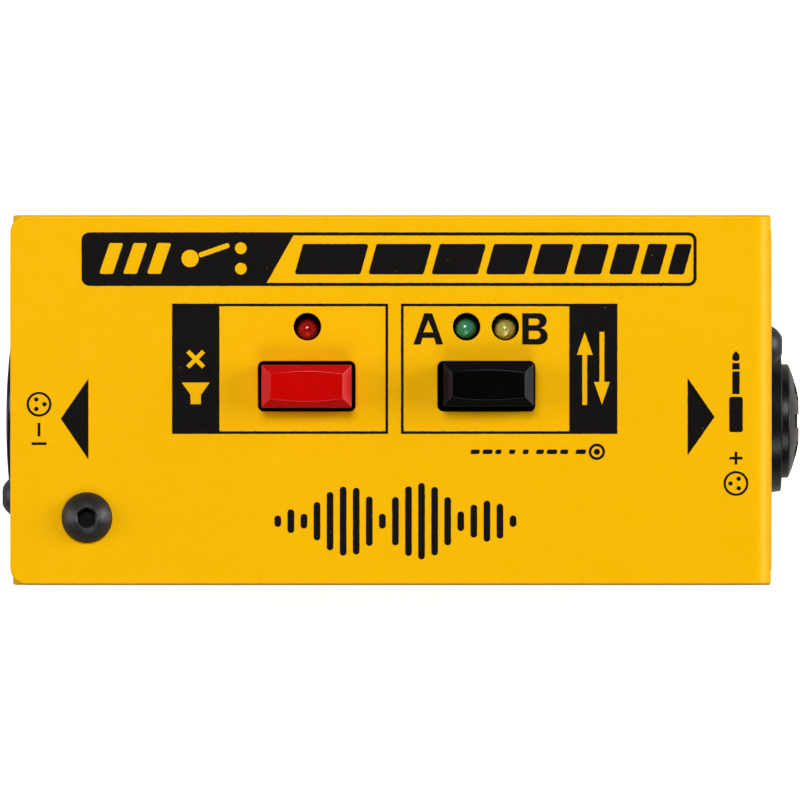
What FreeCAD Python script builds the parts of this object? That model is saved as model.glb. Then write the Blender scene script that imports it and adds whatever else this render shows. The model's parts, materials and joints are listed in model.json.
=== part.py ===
import FreeCAD, Part
import math
import os

# A desktop remote switch box: a folded steel shell with an XLR outlet in its
# left end, an XLR and quarter-inch combination inlet in its right end, and two
# spring-loaded push buttons with indicator lamps in its top.
# Millimetres. The origin is the centre of the box's underside, +Z is up, +X
# runs towards the inlet end and -Y faces the person who presses the buttons.

V = FreeCAD.Vector
X_AXIS = V(1, 0, 0)
Y_AXIS = V(0, 1, 0)
Z_AXIS = V(0, 0, 1)

# Driving dimensions of the shell
LENGTH = 108.2
COVER_WIDTH = 52.3
CHASSIS_WIDTH = 52.6
HEIGHT = 44.5
SHEET = 1.9
PAD_THICKNESS = 1.6
PAD_MARGIN_X = 1.2
PAD_MARGIN_Y = 1.8
BEND_OUTSIDE = 2.2
BEND_INSIDE = 0.3
COVER_BEND_OUTSIDE = 2.8
COVER_BEND_INSIDE = 0.9
COVER_CORNER = 2.3
END_STEP = 0.3
SEAM = 0.1
CORNER_GAP = 0.35
EDGE_ROUND = 0.25
HOLE_ROUND = 0.15
COVER_LIP_REACH = 16.0
CHASSIS_LIP_REACH = 16.2

# Levels and faces that follow from the shell
BASE_BOTTOM = PAD_THICKNESS
BASE_TOP = BASE_BOTTOM + SHEET
PANEL_TOP = HEIGHT
PANEL_UNDER = PANEL_TOP - SHEET
RIGHT_OUT = LENGTH / 2
RIGHT_IN = RIGHT_OUT - SHEET
COVER_LEFT = -LENGTH / 2
LEFT_OUT = COVER_LEFT + END_STEP
LEFT_IN = LEFT_OUT + SHEET
WALL_IN = CHASSIS_WIDTH / 2 - SHEET
WALL_START = LEFT_IN + CORNER_GAP
WALL_END = RIGHT_OUT - END_STEP

# Places on the top panel, and what stands in them a little off centre
MUTE_HOLE = (-12.0, 1.95)
SELECT_HOLE = (13.5, 1.95)
SELECT_SHIFT = (0.3, 0.2)
BUTTON_HOLE_SIZE = (13.8, 7.1)
BUTTON_HOLE_CORNER = 0.8
LAMP_HOLES = {"mute_led": (-11.9, 10.4), "select_led_a": (10.7, 10.4), "select_led_b": (16.2, 10.4)}
LAMP_SHIFTS = {"mute_led": (0.0, -0.45), "select_led_a": (-0.1, -0.27), "select_led_b": (0.0, -0.4)}
LAMP_HOLE_R = 1.95
COVER_SCREW_AT = (-43.2, -16.7)

# Screws and nuts
M3_BUTTON_HEAD = {"head_r": 2.8, "head_height": 1.7, "socket": 2.0, "shank_r": 1.5, "shank_length": 7.0}
M4_BUTTON_HEAD = {"head_r": 3.6, "head_height": 2.1, "socket": 2.5, "shank_r": 2.0, "shank_length": 8.0}
M3_SHANK_R = M3_BUTTON_HEAD["shank_r"]
M4_SHANK_R = M4_BUTTON_HEAD["shank_r"]
CLEARANCE_HOLE = 0.2
THREAD_PLAY = 0.03
SOCKET_LEAD_IN = 0.1
COVER_SCREW_TURN = 30
COVER_NUT_R = 3.9
COVER_NUT_HEIGHT = 2.6
LIP_NUT_R = 2.9
LIP_NUT_HEIGHT = 2.2
COUNTERSUNK_R = 2.8
COUNTERSUNK_DEPTH = 1.5
COUNTERSUNK_SOCKET = 2.0
COUNTERSUNK_SOCKET_DEPTH = 1.1
UNDERSIDE_SCREW_TOP = 9.5
UNDERSIDE_SCREW_Y = 14.0

# Push buttons
CAP_SIZE = (12.8, 6.1)
CAP_BEVEL = 1.3
CAP_ROUND = 0.15
CAP_TOP = PANEL_TOP + 4.5
CAP_BOTTOM = PANEL_UNDER - 1.7
CAP_WALL = 1.0
CAP_ROOF = 2.4
SCOOP_DEPTH = 0.4
STEM = 3.0
STEM_TOP = CAP_TOP - 3.1
SOCKET_PLAY = 0.03
GUIDE_PLAY = 0.1
BUTTON_TRAVEL = 2.5

# Circuit board
BOARD_X = (-30.0, 22.0)
BOARD_HALF_WIDTH = 23.5
BOARD_BOTTOM = 24.0
BOARD_TOP = 25.6
BOARD_SCREW_X = (-27.0, 19.0)
BOARD_SCREW_Y = 20.5
STANDOFF_FLATS = 5.0
STANDOFF_BORE = 8.0
LEAD_R = 0.25
LEAD_HOLE_R = 0.5
LEAD_END = BOARD_BOTTOM - 0.8
LEAD_SPACING = 2.54

# Switch bodies, standing on the board
SWITCH_SIZE = (12.0, 9.0)
SWITCH_WALL = 1.2
SWITCH_BASE_TOP = BOARD_TOP + 1.4
SWITCH_TOP = 37.6
FLANGE_SIZE = (7.0, 5.4)
FLANGE_TOP = SWITCH_TOP - SWITCH_WALL - SEAM / 2
FLANGE_LOW = FLANGE_TOP - 1.5
SPRING_R = 2.3
SPRING_WIRE_R = 0.25
SPRING_TURNS = 5
SPRING_STEPS = 12
SPRING_PLAY = 0.02
MITRED = 1
TERMINAL_STEP = 3.0
TERMINAL_SIDE = 3.0
TERMINAL_SIZE = (0.6, 0.4)
TERMINAL_HOLE_R = 0.45

# Lamps on their spacers
LAMP_R = 1.55
LAMP_TOP = PANEL_TOP - 1.2
LAMP_BASE = LAMP_TOP - 5.2
LAMP_FLANGE_R = 1.9
LAMP_FLAT = 0.25
SPACER_R = 2.3
SPACER_BORE_R = 1.8

# Parts on the board
RESISTOR_ROWS = [(-12.0, -9.0), (-12.0, -12.5), (-12.0, -16.0), (-12.0, 16.5)]
RESISTOR_SPAN = 10.16
RESISTOR_R = 1.15
RESISTOR_LENGTH = 6.4
RESISTOR_LEAD_BEND = 0.8
CAPACITOR_SPOTS = [(-24.0, -15.0), (-24.0, 14.0), (1.0, -18.5)]
CAPACITOR_R = 2.5
CAPACITOR_HEIGHT = 9.0
CHIP_CENTRE = (9.0, -13.0)
CHIP_LEGS = 4
CHIP_ROW = 7.62
CHIP_WIDTH = 6.4
CHIP_Z = (BOARD_TOP + 0.5, BOARD_TOP + 3.9)
CHIP_LEG_WIDTH = 0.5
CHIP_LEG_THICKNESS = 0.3
CHIP_LEG_TOP = BOARD_TOP + 2.2

# Both end connectors share one axis
PORT_Y = -3.0
PORT_Z = 23.0
PORT_SCREW_Y = 10.75
PORT_SCREW_Z = 9.5
PORT_SCREW_DEPTH = 6.5
PORT_BOSS_R = 2.7
PORT_BOSS_DEPTH = 5.0
PIN_CIRCLE_R = 4.76
PIN_SIDE = 3.96
PIN_RISE = math.sqrt(PIN_CIRCLE_R ** 2 - PIN_SIDE ** 2)
PIN_SPOTS = ((-PIN_SIDE, PIN_RISE), (PIN_SIDE, PIN_RISE), (0.0, -PIN_CIRCLE_R))
FLANGE_HALF_Y = 13.5
FLANGE_HALF_Z = 12.8
FLANGE_CORNER = 1.5
PORT_FLANGE = 2.2

# Outlet connector, left end
OUTLET_BOSS_R = 11.2
OUTLET_CREST = 1.15
OUTLET_ARCH_R = 150.0
OUTLET_RIM_ROUND = 0.4
SOCKET_R = 8.15
SOCKET_FLARE = 1.0
OUTLET_TUBE_R = 10.2
OUTLET_FLOOR = -41.0
OUTLET_REAR = -38.5
OUTLET_CAP = 1.5
LATCH_WIDTH = 3.6
LATCH_LENGTH = 3.2
LATCH_RISE = 1.2
KEY_WIDTH = 1.6
KEY_HEIGHT = 0.9
KEY_SETBACK = 5.0
PIN_R = 1.2
PIN_TIP = LEFT_OUT - 0.1
PIN_POINT_R = 0.7
PIN_POINT_LENGTH = 0.7
CUP_R = 1.45
CUP_BORE_R = 0.9
CUP_START = OUTLET_REAR + OUTLET_CAP
CUP_END = CUP_START + 3.0

# The outlet's wires and their plug-in connection
HEADER_X = -26.0
HEADER_SIZE = (5.0, 12.4)
HEADER_TOP = BOARD_TOP + 4.0
PLUG_SIZE = (4.4, 12.0)
PLUG_TOP = HEADER_TOP + 6.0
PLUG_HOLE_DEPTH = 2.5
WIRE_R = 0.6
WIRE_BEND = 2.4
WIRE_CREST = 39.2
WIRE_RISER_X = CUP_END + 2.5

# Inlet connector, right end
COLLAR_ROOT_R = 10.3
COLLAR_TIP_R = 10.05
COLLAR_LENGTH = 1.75
COLLAR_ROUND = 0.15
GROOVE_R = 9.6
INSERT_R = 8.15
INSERT_ROUND = 0.3
INSERT_NOSE = RIGHT_OUT + 4.27
DOME_R = 20.0
JACK_R = 3.22
JACK_MOUTH_R = 3.4
PIN_HOLE_R = 1.25
JACK_SLOT_WIDTH = 2.0
JACK_SLOT_LENGTH = 5.0
JACK_SLOT_RIM = 2.4
INSERT_FLOOR = 44.0
INSERT_REAR = 41.5
INLET_WALL = 39.5
INLET_REAR = 26.0
INLET_TUBE_R = 11.5
BARREL_R = 5.5
TUNNEL_R = 3.4
SLOT_PLAY = 0.1

# The inlet's contacts: blades for the pins, bent strips for the jack
BLADE_LOW = PIN_CIRCLE_R + 1.3
BLADE_HIGH = BLADE_LOW + 0.4
BLADE_WIDTH = 1.8
BLADE_FRONT = 51.0
TAIL_WIDTH = 0.8
STRIP_THICKNESS = 0.4
STRIP_WIDTH = 2.4
STRIP_LEVEL = 7.4
STRIP_TOUCH = JACK_R + 0.15
STRIP_TURNS = (0, -95, 95)
STRIP_TOUCH_X = (29.5, 34.0, 37.2)
TAIL_HALF = 0.5

# The inlet's own board, and the pins that link it to the main board
INLET_BOARD_X = (22.6, 24.2)
INLET_BOARD_HALF_Y = 12.0
INLET_BOARD_Z = (10.0, 36.0)
TAIL_END = INLET_BOARD_X[0] - 0.8
LINK_PINS = 5
LINK_Z = 22.6
LINK_STEP = 2.54
LINK_R = 0.32
LINK_STRIP_X = (18.6, 21.2)
LINK_X = (17.4, INLET_BOARD_X[1] + 0.8)


def block(x, y, z):
    """A box from three (low, high) pairs."""
    return Part.makeBox(x[1] - x[0], y[1] - y[0], z[1] - z[0], V(x[0], y[0], z[0]))


def block_at(centre, size, z):
    """A box centred on (x, y) with a (x, y) size between two levels."""
    cx, cy = centre
    hx, hy = size[0] / 2, size[1] / 2
    return block((cx - hx, cx + hx), (cy - hy, cy + hy), z)


def rod_z(radius, z, centre):
    """An upright cylinder between two levels."""
    return Part.makeCylinder(radius, z[1] - z[0], V(centre[0], centre[1], z[0]), Z_AXIS)


def rod_x(radius, x, y=PORT_Y, z=PORT_Z):
    """A cylinder along X; on the connectors' axis unless told otherwise."""
    return Part.makeCylinder(radius, x[1] - x[0], V(x[0], y, z), X_AXIS)


def rounded_edges(points, radii, closed):
    """Straight runs through the points, with a tangent arc at each corner."""
    count = len(points)
    corners = []
    for i, point in enumerate(points):
        is_end = not closed and i in (0, count - 1)
        if is_end or radii[i] == 0:
            corners.append((point, None, point))
            continue
        back = (points[i - 1] - point).normalize()
        ahead = (points[(i + 1) % count] - point).normalize()
        half_angle = back.getAngle(ahead) / 2
        reach = radii[i] / math.tan(half_angle)
        inward = (back + ahead).normalize()
        middle = point + inward * (radii[i] / math.sin(half_angle) - radii[i])
        corners.append((point + back * reach, middle, point + ahead * reach))
    edges = []
    for i, (start, middle, end) in enumerate(corners):
        if middle is not None:
            edges.append(Part.Arc(start, middle, end).toShape())
        if closed or i < count - 1:
            following = corners[(i + 1) % count][0]
            if (following - end).Length > 1e-6:
                edges.append(Part.makeLine(end, following))
    return edges


def prism(points, radii, travel):
    """Extrude a closed outline with rounded corners."""
    wire = Part.Wire(rounded_edges(points, radii, True))
    return Part.Face(wire).extrude(travel)


def rounded_block(centre, size, corner, z):
    """An upright prism on a rounded rectangle."""
    cx, cy = centre
    hx, hy = size[0] / 2, size[1] / 2
    signs = ((-1, -1), (1, -1), (1, 1), (-1, 1))
    points = [V(cx + sx * hx, cy + sy * hy, z[0]) for sx, sy in signs]
    return prism(points, [corner] * 4, V(0, 0, z[1] - z[0]))


def wire_along(points, radii, radius):
    """A round wire along straight runs and tangent arcs."""
    path = Part.Wire(rounded_edges(points, radii, False))
    start = (points[1] - points[0]).normalize()
    ring = Part.Wire(Part.makeCircle(radius, points[0], start))
    return path.makePipeShell([ring], True, False)


def hex_rod(across_flats, z, centre):
    """An upright hexagonal bar."""
    corner_r = across_flats / math.sqrt(3)
    points = []
    for i in range(6):
        angle = math.radians(60 * i)
        x = centre[0] + corner_r * math.cos(angle)
        points.append(V(x, centre[1] + corner_r * math.sin(angle), z[0]))
    return prism(points, [0] * 6, V(0, 0, z[1] - z[0]))


def turned_to(shape, direction, place):
    """Swing a shape built along +Z to point along a direction, and place it."""
    shape.Placement = FreeCAD.Placement(place, FreeCAD.Rotation(Z_AXIS, direction))
    return shape


def button_screw(head_r, head_height, socket, shank_r, shank_length):
    """A button-head screw, seated at z = 0, with its head up and a hexagon socket."""
    rim = 0.15 * head_height
    flat_r = 0.45 * head_r
    centre_z = (head_r ** 2 + rim ** 2 - flat_r ** 2 - head_height ** 2) / (2 * (rim - head_height))
    dome_r = math.hypot(head_r, rim - centre_z)
    middle_r = (head_r + flat_r) / 2
    middle_z = centre_z + math.sqrt(dome_r ** 2 - middle_r ** 2)
    outline = [
        Part.makeLine(V(0, 0, -shank_length), V(shank_r, 0, -shank_length)),
        Part.makeLine(V(shank_r, 0, -shank_length), V(shank_r, 0, 0)),
        Part.makeLine(V(shank_r, 0, 0), V(head_r, 0, 0)),
        Part.makeLine(V(head_r, 0, 0), V(head_r, 0, rim)),
        Part.Arc(V(head_r, 0, rim), V(middle_r, 0, middle_z), V(flat_r, 0, head_height)).toShape(),
        Part.makeLine(V(flat_r, 0, head_height), V(0, 0, head_height)),
        Part.makeLine(V(0, 0, head_height), V(0, 0, -shank_length)),
    ]
    body = Part.Face(Part.Wire(outline)).revolve(V(0, 0, 0), Z_AXIS, 360)
    depth = 0.75 * head_height
    body = body.cut(hex_rod(socket, (head_height - depth, head_height + 1), (0, 0)))
    lead_in_r = socket / math.sqrt(3) + SOCKET_LEAD_IN
    lead_in = lead_in_r - socket / 2
    return body.cut(Part.makeCone(socket / 2, lead_in_r, lead_in, V(0, 0, head_height - lead_in), Z_AXIS))


def soften(shape, wanted, radius):
    """Round the edges whose middle point passes a test."""
    edges = []
    for edge in shape.Edges:
        middle = edge.valueAt((edge.FirstParameter + edge.LastParameter) / 2)
        if wanted(middle, edge):
            edges.append(edge)
    return shape.makeFillet(radius, edges)


def joined(shapes):
    """Fuse touching shapes into one clean solid."""
    return shapes[0].multiFuse(shapes[1:]).removeSplitter()


def group(shapes):
    """Keep separate solids together in one node."""
    return Part.makeCompound(shapes)


def top_cover():
    """Top panel, right end panel between the chassis walls, and the lip over its floor."""
    half = COVER_WIDTH / 2
    lip_end = RIGHT_IN - COVER_LIP_REACH
    outline = [
        V(COVER_LEFT, -half, PANEL_TOP),
        V(RIGHT_OUT, -half, PANEL_TOP),
        V(RIGHT_OUT, -half, BASE_TOP),
        V(lip_end, -half, BASE_TOP),
        V(lip_end, -half, BASE_TOP + SHEET),
        V(RIGHT_IN, -half, BASE_TOP + SHEET),
        V(RIGHT_IN, -half, PANEL_UNDER),
        V(COVER_LEFT, -half, PANEL_UNDER),
    ]
    outside, inside = COVER_BEND_OUTSIDE, COVER_BEND_INSIDE
    radii = [0, outside, outside, 0, 0, inside, inside, 0]
    cover = prism(outline, radii, V(0, COVER_WIDTH, 0))
    signs = ((COVER_LEFT, -half), (RIGHT_OUT, -half), (RIGHT_OUT, half), (COVER_LEFT, half))
    plan = [V(x, y, 0) for x, y in signs]
    cover = cover.common(prism(plan, [COVER_CORNER, 0, 0, COVER_CORNER], V(0, 0, HEIGHT)))
    for side in (-1, 1):
        beside_wall = sorted((side * (WALL_IN - SEAM), side * (half + 1)))
        cover = cover.cut(block((lip_end - 1, RIGHT_OUT + 1), beside_wall, (BASE_TOP - 1, PANEL_UNDER)))

    def on_outline(point, edge):
        on_top = abs(point.z - PANEL_TOP) < 0.01
        on_side = abs(abs(point.y) - half) < 0.01
        on_left = point.x < COVER_LEFT + COVER_CORNER and abs(point.y) < half + 0.01
        on_end = abs(point.x - RIGHT_OUT) < 0.01 and abs(abs(point.y) - WALL_IN) < 2 * SEAM
        on_bend = point.x > RIGHT_OUT - outside / 3 and point.z > PANEL_TOP - outside
        return (on_top and (on_side or on_left)) or on_end or (on_side and on_bend)

    cover = soften(cover, on_outline, EDGE_ROUND)
    through = (PANEL_UNDER - 1, PANEL_TOP + 1)
    for centre in (MUTE_HOLE, SELECT_HOLE):
        cover = cover.cut(rounded_block(centre, BUTTON_HOLE_SIZE, BUTTON_HOLE_CORNER, through))
    for centre in LAMP_HOLES.values():
        cover = cover.cut(rod_z(LAMP_HOLE_R, through, centre))

    def on_hole_rim(point, edge):
        inside = abs(point.y) < half - 1 and -RIGHT_OUT + 1 < point.x < RIGHT_OUT - 4
        return inside and abs(point.z - PANEL_TOP) < 0.01

    cover = soften(cover, on_hole_rim, HOLE_ROUND)
    cover = cover.cut(rod_z(M4_SHANK_R + CLEARANCE_HOLE, through, COVER_SCREW_AT))
    end_through = (RIGHT_IN - 1, RIGHT_OUT + 1)
    cover = cover.cut(rod_x(COLLAR_ROOT_R + CLEARANCE_HOLE, end_through))
    screw_y, screw_z = PORT_Y + PORT_SCREW_Y, PORT_Z + PORT_SCREW_Z
    cover = cover.cut(rod_x(M3_SHANK_R + CLEARANCE_HOLE, end_through, screw_y, screw_z))
    lip_through = (BASE_TOP - 1, BASE_TOP + SHEET + 1)
    for centre in underside_spots():
        cover = cover.cut(rod_z(M3_SHANK_R + CLEARANCE_HOLE, lip_through, centre))
    return cover


def underside_spots():
    """Where the two underside screws stand."""
    return [(RIGHT_IN - COVER_LIP_REACH / 2, side * UNDERSIDE_SCREW_Y) for side in (-1, 1)]


def base_chassis():
    """Bottom, front and back walls, left end panel and the lip under the cover."""
    half = CHASSIS_WIDTH / 2
    wall_top = PANEL_UNDER - SEAM / 2
    section = [
        V(WALL_START, -half, wall_top),
        V(WALL_START, -half, BASE_BOTTOM),
        V(WALL_START, half, BASE_BOTTOM),
        V(WALL_START, half, wall_top),
        V(WALL_START, WALL_IN, wall_top),
        V(WALL_START, WALL_IN, BASE_TOP),
        V(WALL_START, -WALL_IN, BASE_TOP),
        V(WALL_START, -WALL_IN, wall_top),
    ]
    radii = [0, BEND_OUTSIDE, BEND_OUTSIDE, 0, 0, BEND_INSIDE, BEND_INSIDE, 0]
    trough = prism(section, radii, V(WALL_END - WALL_START, 0, 0))
    lip_end = LEFT_IN + CHASSIS_LIP_REACH
    profile = [
        V(WALL_START, -half, BASE_BOTTOM),
        V(LEFT_OUT, -half, BASE_BOTTOM),
        V(LEFT_OUT, -half, PANEL_UNDER),
        V(lip_end, -half, PANEL_UNDER),
        V(lip_end, -half, PANEL_UNDER - SHEET),
        V(LEFT_IN, -half, PANEL_UNDER - SHEET),
        V(LEFT_IN, -half, BASE_TOP),
        V(WALL_START, -half, BASE_TOP),
    ]
    radii = [0, BEND_OUTSIDE, BEND_OUTSIDE, 0, 0, BEND_INSIDE, BEND_INSIDE, 0]
    end_panel = prism(profile, radii, V(0, CHASSIS_WIDTH, 0))

    def on_outside(point, edge):
        on_side = abs(abs(point.y) - half) < 0.01
        outside = min(point.x - LEFT_OUT, point.z - BASE_BOTTOM, PANEL_UNDER - point.z)
        return on_side and outside < BEND_OUTSIDE / 3

    end_panel = soften(end_panel, on_outside, EDGE_ROUND)
    for side in (-1, 1):
        ends = sorted((side * (WALL_IN - 2 * SEAM), side * (half + 1)))
        beside_lip = block((WALL_START, lip_end + 1), ends, (PANEL_UNDER - SHEET - 1, HEIGHT))
        end_panel = end_panel.cut(beside_lip)
    chassis = joined([trough, end_panel])
    end_through = (LEFT_OUT - 1, LEFT_IN + 1)
    chassis = chassis.cut(rod_x(OUTLET_BOSS_R + CLEARANCE_HOLE, end_through))
    screw_y, screw_z = PORT_Y - PORT_SCREW_Y, PORT_Z + PORT_SCREW_Z
    chassis = chassis.cut(rod_x(M3_SHANK_R + CLEARANCE_HOLE, end_through, screw_y, screw_z))
    lip_through = (PANEL_UNDER - SHEET - 1, PANEL_UNDER + 1)
    chassis = chassis.cut(rod_z(M4_SHANK_R + CLEARANCE_HOLE, lip_through, COVER_SCREW_AT))
    for centre in underside_spots():
        chassis = chassis.cut(countersunk(centre, CLEARANCE_HOLE / 2))
    return chassis


def countersunk(centre, play):
    """The body of a countersunk screw from below, widened by some play."""
    spot = V(centre[0], centre[1], BASE_BOTTOM)
    head = Part.makeCone(COUNTERSUNK_R + play, M3_SHANK_R + play, COUNTERSUNK_DEPTH, spot, Z_AXIS)
    shank = rod_z(M3_SHANK_R + play, (BASE_BOTTOM, UNDERSIDE_SCREW_TOP), centre)
    return joined([head, shank])


def bottom_pad():
    """Soft pad over the underside, with a hole for each underside screw."""
    size = (LENGTH - 2 * PAD_MARGIN_X, CHASSIS_WIDTH - 2 * PAD_MARGIN_Y)
    pad = rounded_block((0, 0), size, COVER_CORNER, (0, PAD_THICKNESS))
    for centre in underside_spots():
        pad = pad.cut(rod_z(COUNTERSUNK_R + 2 * CLEARANCE_HOLE, (-1, PAD_THICKNESS + 1), centre))
    return pad


def underside_screws():
    """The two countersunk screws, each with a hexagon socket."""
    screws = []
    for centre in underside_spots():
        socket_z = (BASE_BOTTOM - 1, BASE_BOTTOM + COUNTERSUNK_SOCKET_DEPTH)
        socket = hex_rod(COUNTERSUNK_SOCKET, socket_z, centre)
        screws.append(countersunk(centre, 0).cut(socket))
    return group(screws)


def lip_press_nuts():
    """Press nuts standing on the cover's lip."""
    low = BASE_TOP + SHEET
    nuts = []
    for centre in underside_spots():
        ring = rod_z(LIP_NUT_R, (low, low + LIP_NUT_HEIGHT), centre)
        bore = rod_z(M3_SHANK_R + THREAD_PLAY, (low - 1, low + LIP_NUT_HEIGHT + 1), centre)
        nuts.append(ring.cut(bore))
    return group(nuts)


def cover_screw():
    """The button-head screw that holds the cover down on the chassis lip."""
    place = V(COVER_SCREW_AT[0], COVER_SCREW_AT[1], PANEL_TOP)
    screw = turned_to(button_screw(**M4_BUTTON_HEAD), Z_AXIS, place)
    screw.rotate(place, Z_AXIS, COVER_SCREW_TURN)
    return screw


def cover_press_nut():
    """Press nut under the chassis lip."""
    high = PANEL_UNDER - SHEET
    low = high - COVER_NUT_HEIGHT
    ring = rod_z(COVER_NUT_R, (low, high), COVER_SCREW_AT)
    return ring.cut(rod_z(M4_SHANK_R + THREAD_PLAY, (low - 1, high + 1), COVER_SCREW_AT))


def board_corners():
    """Where the four board screws stand."""
    return [(x, side * BOARD_SCREW_Y) for x in BOARD_SCREW_X for side in (-1, 1)]


def switch_centres():
    """Each push button's own centre, by name."""
    select = (SELECT_HOLE[0] + SELECT_SHIFT[0], SELECT_HOLE[1] + SELECT_SHIFT[1])
    return {"mute": MUTE_HOLE, "select": select}


def lamp_centres():
    """Each lamp's own centre, a little off its hole."""
    places = {}
    for name, (x, y) in LAMP_HOLES.items():
        shift_x, shift_y = LAMP_SHIFTS[name]
        places[name] = (x + shift_x, y + shift_y)
    return places


def terminal_spots(centre):
    """The six terminals under one switch."""
    spots = []
    for i in (-1, 0, 1):
        for side in (-1, 1):
            spots.append((centre[0] + i * TERMINAL_STEP, centre[1] + side * TERMINAL_SIDE))
    return spots


def all_terminal_spots():
    """The terminals under both switches."""
    return [spot for centre in switch_centres().values() for spot in terminal_spots(centre)]


def lamp_lead_spots():
    """The two leads under each lamp."""
    spots = []
    for x, y in lamp_centres().values():
        spots.extend([(x - LEAD_SPACING / 2, y), (x + LEAD_SPACING / 2, y)])
    return spots


def resistor_lead_spots():
    """The two ends of each resistor."""
    return [(x + side * RESISTOR_SPAN / 2, y) for x, y in RESISTOR_ROWS for side in (-1, 1)]


def chip_leg_spots():
    """The legs of the logic chip, in two rows."""
    spots = []
    for i in range(CHIP_LEGS):
        x = CHIP_CENTRE[0] + (i - (CHIP_LEGS - 1) / 2) * LEAD_SPACING
        for side in (-1, 1):
            spots.append((x, CHIP_CENTRE[1] + side * CHIP_ROW / 2))
    return spots


def main_board():
    """The circuit board, drilled for everything that passes through it."""
    size_y = (-BOARD_HALF_WIDTH, BOARD_HALF_WIDTH)
    board = block(BOARD_X, size_y, (BOARD_BOTTOM, BOARD_TOP))
    through = (BOARD_BOTTOM - 1, BOARD_TOP + 1)
    holes = [rod_z(M3_SHANK_R + CLEARANCE_HOLE, through, spot) for spot in board_corners()]
    small = all_terminal_spots() + lamp_lead_spots() + resistor_lead_spots() + chip_leg_spots()
    holes += [rod_z(LEAD_HOLE_R, through, spot) for spot in small]
    return board.cut(group(holes))


def board_standoffs():
    """Hexagonal posts between the chassis and the board."""
    posts = []
    for centre in board_corners():
        post = hex_rod(STANDOFF_FLATS, (BASE_TOP, BOARD_BOTTOM), centre)
        bore_z = (BOARD_BOTTOM - STANDOFF_BORE, BOARD_BOTTOM + 1)
        posts.append(post.cut(rod_z(M3_SHANK_R + THREAD_PLAY, bore_z, centre)))
    return group(posts)


def board_screws():
    """Screws down through the board into the posts."""
    screws = []
    for x, y in board_corners():
        screws.append(turned_to(button_screw(**M3_BUTTON_HEAD), Z_AXIS, V(x, y, BOARD_TOP)))
    return group(screws)


def switch_base(centre):
    """The floor of a switch, with its spring seat."""
    plate = block_at(centre, SWITCH_SIZE, (BOARD_TOP, SWITCH_BASE_TOP))
    through = (BOARD_TOP - 1, SWITCH_BASE_TOP + 1)
    return plate.cut(group([rod_z(TERMINAL_HOLE_R, through, spot) for spot in terminal_spots(centre)]))


def switch_body(centre):
    """The hollow body that guides the plunger and stops it at the top."""
    outer = block_at(centre, SWITCH_SIZE, (SWITCH_BASE_TOP, SWITCH_TOP))
    room = (SWITCH_SIZE[0] - 2 * SWITCH_WALL, SWITCH_SIZE[1] - 2 * SWITCH_WALL)
    inner = block_at(centre, room, (SWITCH_BASE_TOP - 1, SWITCH_TOP - SWITCH_WALL))
    guide = STEM + 2 * GUIDE_PLAY
    slot = block_at(centre, (guide, guide), (SWITCH_TOP - SWITCH_WALL - 1, SWITCH_TOP + 1))
    return outer.cut(inner).cut(slot)


def plunger(centre):
    """Square stem, stop flange and the round pilot inside the spring."""
    stem = block_at(centre, (STEM, STEM), (FLANGE_LOW, STEM_TOP))
    flange = block_at(centre, FLANGE_SIZE, (FLANGE_LOW, FLANGE_TOP))
    pilot = rod_z(STEM / 2, (FLANGE_LOW - BUTTON_TRAVEL, FLANGE_TOP), centre)
    return joined([stem, flange, pilot])


def return_spring(centre):
    """The coil spring between the switch floor and the plunger's flange."""
    low = SWITCH_BASE_TOP + SPRING_WIRE_R + SPRING_PLAY
    rise = FLANGE_LOW - SPRING_WIRE_R - SPRING_PLAY - low
    steps = SPRING_TURNS * SPRING_STEPS
    points = []
    for i in range(steps + 1):
        angle = 2 * math.pi * i / SPRING_STEPS
        x = centre[0] + SPRING_R * math.cos(angle)
        y = centre[1] + SPRING_R * math.sin(angle)
        points.append(V(x, y, low + rise * i / steps))
    ring = Part.Wire(Part.makeCircle(SPRING_WIRE_R, points[0], points[1] - points[0]))
    return Part.makePolygon(points).makePipeShell([ring], True, False, MITRED)


def button_cap(centre):
    """A bevelled cap with a shallow finger scoop, hollow below, on the stem."""
    cap = block_at(centre, CAP_SIZE, (CAP_BOTTOM, CAP_TOP))
    rim = [e for e in cap.Edges if all(abs(v.Z - CAP_TOP) < 0.01 for v in e.Vertexes)]
    cap = cap.makeChamfer(CAP_BEVEL, rim)
    half_facet = CAP_SIZE[0] / 2 - CAP_BEVEL
    scoop_r = (half_facet ** 2 + SCOOP_DEPTH ** 2) / (2 * SCOOP_DEPTH)
    axis_z = CAP_TOP - SCOOP_DEPTH + scoop_r
    start = V(centre[0], centre[1] - CAP_SIZE[1], axis_z)
    scoop = Part.makeCylinder(scoop_r, 2 * CAP_SIZE[1], start, Y_AXIS)
    cap = soften(cap.cut(scoop), lambda p, e: p.z > CAP_BOTTOM + CAP_ROUND, CAP_ROUND)
    pocket_y = CAP_SIZE[1] - 2 * CAP_WALL
    boss_half = STEM / 2 + CAP_WALL
    pocket_x = CAP_SIZE[0] / 2 - CAP_WALL - boss_half
    pocket_centre = boss_half + pocket_x / 2
    pocket_z = (CAP_BOTTOM - 1, CAP_TOP - CAP_ROOF)
    for side in (-1, 1):
        spot = (centre[0] + side * pocket_centre, centre[1])
        cap = cap.cut(block_at(spot, (pocket_x, pocket_y), pocket_z))
    socket = STEM + 2 * SOCKET_PLAY
    cap = cap.cut(block_at(centre, (socket, socket), (CAP_BOTTOM - 1, STEM_TOP + SOCKET_PLAY)))
    return cap


def switch_terminals():
    """Square terminals from inside each switch down through the board."""
    z = (BOARD_BOTTOM - 1.6, SWITCH_BASE_TOP + 0.6)
    return group([block_at(spot, TERMINAL_SIZE, z) for spot in all_terminal_spots()])


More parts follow.
